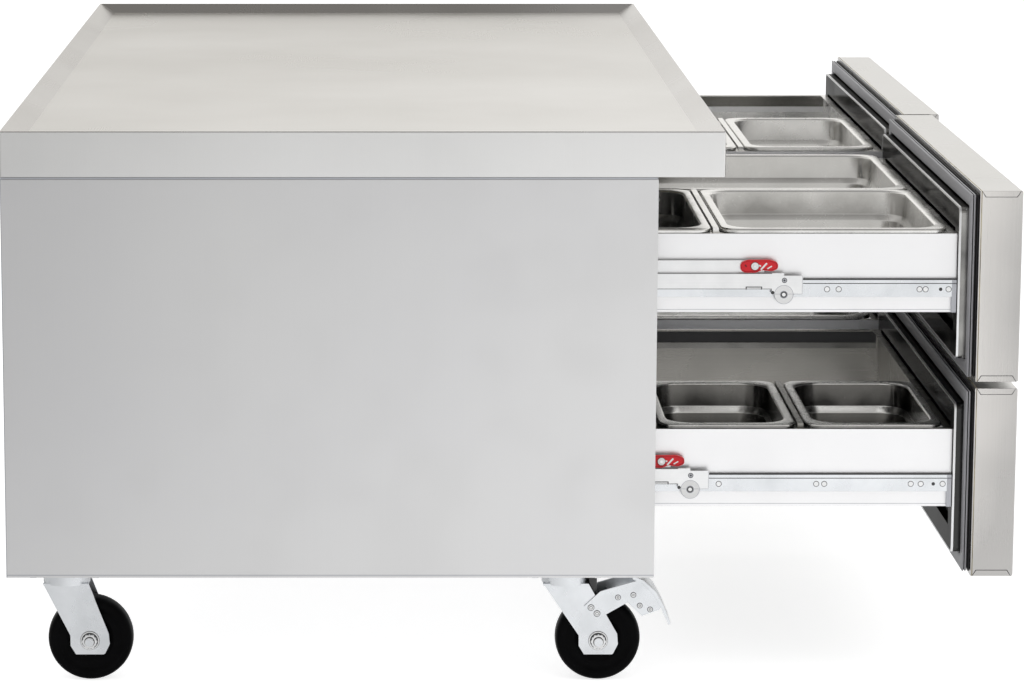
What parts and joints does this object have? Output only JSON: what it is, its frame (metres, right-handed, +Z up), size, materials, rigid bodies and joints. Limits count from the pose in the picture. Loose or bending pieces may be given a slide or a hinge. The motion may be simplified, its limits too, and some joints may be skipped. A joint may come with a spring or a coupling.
{
  "type": "refrigerated chef base",
  "caption": "Low refrigerated base on casters: steel worktop with a raised rim over insulated drawers on telescopic slides, holding hanging food pans.",
  "frame": {"origin": "on the floor, under the middle of the box that the object fills with its drawers open as modelled", "axes": "+Z up, the drawers face and open towards -Y, +X to the right as the cook in front of them sees it"},
  "size_m": [1.575, 1.1924, 0.667],
  "materials": {
    "brushed_steel": "satin",
    "pan_steel": "satin",
    "zinc": "satin",
    "drawer_box": "satin",
    "liner": "satin",
    "foam": "matte",
    "gasket": "matte",
    "tyre": "satin",
    "red_plastic": "gloss",
    "black_plastic": "matte",
    "black_steel": "gloss",
    "coil": "satin",
    "evaporator": "matte"
  },
  "bodies": {
    "cabinet": {"worktop": "brushed_steel", "outer_shell": "brushed_steel", "foam_insulation": "foam", "inner_liner": "liner", "front_frame": "brushed_steel", "slide_carrier_left": "zinc", "slide_carrier_centre": "zinc", "slide_carrier_right": "zinc", "machine_grille": "brushed_steel", "control_box": "black_plastic", "condenser_coil": "coil", "compressor": "black_steel", "mains_gland": "black_plastic", "evaporator_case": "evaporator", "rear_left_caster_plate": "zinc", "front_left_caster_plate": "zinc", "rear_right_caster_plate": "zinc", "front_right_caster_plate": "zinc"},
    "upper_left_drawer": {"upper_left_drawer_front": "brushed_steel", "upper_left_drawer_gasket": "gasket", "upper_left_drawer_box": "drawer_box", "half_pan_front": "pan_steel", "half_pan_rear": "pan_steel", "full_pan_upper": "pan_steel"},
    "upper_left_slide_left_member": {"upper_left_slide_left": "zinc"},
    "upper_left_slide_right_member": {"upper_left_slide_right": "zinc"},
    "upper_left_release_lever_body": {"upper_left_release_lever": "red_plastic"},
    "upper_right_drawer": {"upper_right_drawer_front": "brushed_steel", "upper_right_drawer_gasket": "gasket", "upper_right_drawer_box": "drawer_box", "third_pan_front": "pan_steel", "third_pan_rear": "pan_steel"},
    "upper_right_slide_left_member": {"upper_right_slide_left": "zinc"},
    "upper_right_slide_right_member": {"upper_right_slide_right": "zinc"},
    "lower_left_drawer": {"lower_left_drawer_front": "brushed_steel", "lower_left_drawer_gasket": "gasket", "lower_left_drawer_box": "drawer_box", "quarter_pan_front": "pan_steel", "quarter_pan_rear": "pan_steel"},
    "lower_left_slide_left_member": {"lower_left_slide_left": "zinc"},
    "lower_left_slide_right_member": {"lower_left_slide_right": "zinc"},
    "lower_left_release_lever_body": {"lower_left_release_lever": "red_plastic"},
    "lower_right_drawer": {"lower_right_drawer_front": "brushed_steel", "lower_right_drawer_gasket": "gasket", "lower_right_drawer_box": "drawer_box", "full_pan_lower": "pan_steel"},
    "lower_right_slide_left_member": {"lower_right_slide_left": "zinc"},
    "lower_right_slide_right_member": {"lower_right_slide_right": "zinc"},
    "rear_left_fork": {"rear_left_caster_fork": "zinc"},
    "rear_left_wheel_body": {"rear_left_wheel": "tyre"},
    "front_left_fork": {"front_left_caster_fork": "zinc"},
    "front_left_wheel_body": {"front_left_wheel": "tyre"},
    "front_left_pedal": {"front_left_brake_pedal": "zinc"},
    "rear_right_fork": {"rear_right_caster_fork": "zinc"},
    "rear_right_wheel_body": {"rear_right_wheel": "tyre"},
    "front_right_fork": {"front_right_caster_fork": "zinc"},
    "front_right_wheel_body": {"front_right_wheel": "tyre"},
    "front_right_pedal": {"front_right_brake_pedal": "zinc"},
    "condenser_fan_body": {"condenser_fan": "black_plastic"},
    "evaporator_fan_body": {"evaporator_fan": "black_plastic"}
  },
  "joints": [
    {"name": "upper_left_drawer_travel", "type": "slide", "parent": "cabinet", "child": "upper_left_drawer", "axis": [0, -1, 0], "range_m": [-0.362, 0.14]},
    {"name": "upper_left_slide_left_travel", "type": "slide", "parent": "cabinet", "child": "upper_left_slide_left_member", "axis": [0, -1, 0], "range_m": [-0.181, 0.07]},
    {"name": "upper_left_slide_right_travel", "type": "slide", "parent": "cabinet", "child": "upper_left_slide_right_member", "axis": [0, -1, 0], "range_m": [-0.181, 0.07]},
    {"name": "upper_left_release_lever_tilt", "type": "hinge", "parent": "upper_left_slide_left_member", "child": "upper_left_release_lever_body", "pos_m": [-0.76275, -0.27975, 0.506], "axis": [1, 0, 0], "range_deg": [-14, 14]},
    {"name": "upper_right_drawer_travel", "type": "slide", "parent": "cabinet", "child": "upper_right_drawer", "axis": [0, -1, 0], "range_m": [-0.3715, 0.1305]},
    {"name": "upper_right_slide_left_travel", "type": "slide", "parent": "cabinet", "child": "upper_right_slide_left_member", "axis": [0, -1, 0], "range_m": [-0.18575, 0.06525]},
    {"name": "upper_right_slide_right_travel", "type": "slide", "parent": "cabinet", "child": "upper_right_slide_right_member", "axis": [0, -1, 0], "range_m": [-0.18575, 0.06525]},
    {"name": "lower_left_drawer_travel", "type": "slide", "parent": "cabinet", "child": "lower_left_drawer", "axis": [0, -1, 0], "range_m": [-0.362, 0.14]},
    {"name": "lower_left_slide_left_travel", "type": "slide", "parent": "cabinet", "child": "lower_left_slide_left_member", "axis": [0, -1, 0], "range_m": [-0.181, 0.07]},
    {"name": "lower_left_slide_right_travel", "type": "slide", "parent": "cabinet", "child": "lower_left_slide_right_member", "axis": [0, -1, 0], "range_m": [-0.181, 0.07]},
    {"name": "lower_left_release_lever_tilt", "type": "hinge", "parent": "lower_left_slide_left_member", "child": "lower_left_release_lever_body", "pos_m": [-0.76275, -0.17375, 0.2735], "axis": [1, 0, 0], "range_deg": [-14, 14]},
    {"name": "lower_right_drawer_travel", "type": "slide", "parent": "cabinet", "child": "lower_right_drawer", "axis": [0, -1, 0], "range_m": [-0.3715, 0.1305]},
    {"name": "lower_right_slide_left_travel", "type": "slide", "parent": "cabinet", "child": "lower_right_slide_left_member", "axis": [0, -1, 0], "range_m": [-0.18575, 0.06525]},
    {"name": "lower_right_slide_right_travel", "type": "slide", "parent": "cabinet", "child": "lower_right_slide_right_member", "axis": [0, -1, 0], "range_m": [-0.18575, 0.06525]},
    {"name": "rear_left_caster_swivel", "type": "hinge", "parent": "cabinet", "child": "rear_left_fork", "pos_m": [-0.7215, 0.53025, 0.1303], "axis": [0, 0, 1], "continuous": true},
    {"name": "rear_left_wheel_spin", "type": "hinge", "parent": "rear_left_fork", "child": "rear_left_wheel_body", "pos_m": [-0.7215, 0.50225, 0.0508], "axis": [1, 0, 0], "continuous": true},
    {"name": "front_left_caster_swivel", "type": "hinge", "parent": "cabinet", "child": "front_left_fork", "pos_m": [-0.7215, -0.06375, 0.1303], "axis": [0, 0, 1], "continuous": true},
    {"name": "front_left_wheel_spin", "type": "hinge", "parent": "front_left_fork", "child": "front_left_wheel_body", "pos_m": [-0.7215, -0.10275, 0.0508], "axis": [1, 0, 0], "continuous": true},
    {"name": "front_left_brake_press", "type": "hinge", "parent": "front_left_fork", "child": "front_left_pedal", "pos_m": [-0.7215, -0.09375, 0.0918], "axis": [1, 0, 0], "range_deg": [-3, 12]},
    {"name": "rear_right_caster_swivel", "type": "hinge", "parent": "cabinet", "child": "rear_right_fork", "pos_m": [0.7215, 0.53025, 0.1303], "axis": [0, 0, 1], "continuous": true},
    {"name": "rear_right_wheel_spin", "type": "hinge", "parent": "rear_right_fork", "child": "rear_right_wheel_body", "pos_m": [0.7215, 0.50225, 0.0508], "axis": [1, 0, 0], "continuous": true},
    {"name": "front_right_caster_swivel", "type": "hinge", "parent": "cabinet", "child": "front_right_fork", "pos_m": [0.7215, -0.06375, 0.1303], "axis": [0, 0, 1], "continuous": true},
    {"name": "front_right_wheel_spin", "type": "hinge", "parent": "front_right_fork", "child": "front_right_wheel_body", "pos_m": [0.7215, -0.10275, 0.0508], "axis": [1, 0, 0], "continuous": true},
    {"name": "front_right_brake_press", "type": "hinge", "parent": "front_right_fork", "child": "front_right_pedal", "pos_m": [0.7215, -0.09375, 0.0918], "axis": [1, 0, 0], "range_deg": [-3, 12]},
    {"name": "condenser_fan_spin", "type": "hinge", "parent": "cabinet", "child": "condenser_fan_body", "pos_m": [0.7254, -0.08275, 0.3105], "axis": [0, 1, 0], "continuous": true},
    {"name": "evaporator_fan_spin", "type": "hinge", "parent": "cabinet", "child": "evaporator_fan_body", "pos_m": [0.293, 0.46845, 0.465], "axis": [0, 1, 0], "continuous": true}
  ],
  "couplings": [
    {"joint": "upper_left_slide_left_travel", "follows": "upper_left_drawer_travel", "ratio": 0.5},
    {"joint": "upper_left_slide_right_travel", "follows": "upper_left_drawer_travel", "ratio": 0.5},
    {"joint": "upper_right_slide_left_travel", "follows": "upper_right_drawer_travel", "ratio": 0.5},
    {"joint": "upper_right_slide_right_travel", "follows": "upper_right_drawer_travel", "ratio": 0.5},
    {"joint": "lower_left_slide_left_travel", "follows": "lower_left_drawer_travel", "ratio": 0.5},
    {"joint": "lower_left_slide_right_travel", "follows": "lower_left_drawer_travel", "ratio": 0.5},
    {"joint": "lower_right_slide_left_travel", "follows": "lower_right_drawer_travel", "ratio": 0.5},
    {"joint": "lower_right_slide_right_travel", "follows": "lower_right_drawer_travel", "ratio": 0.5}
  ]
}
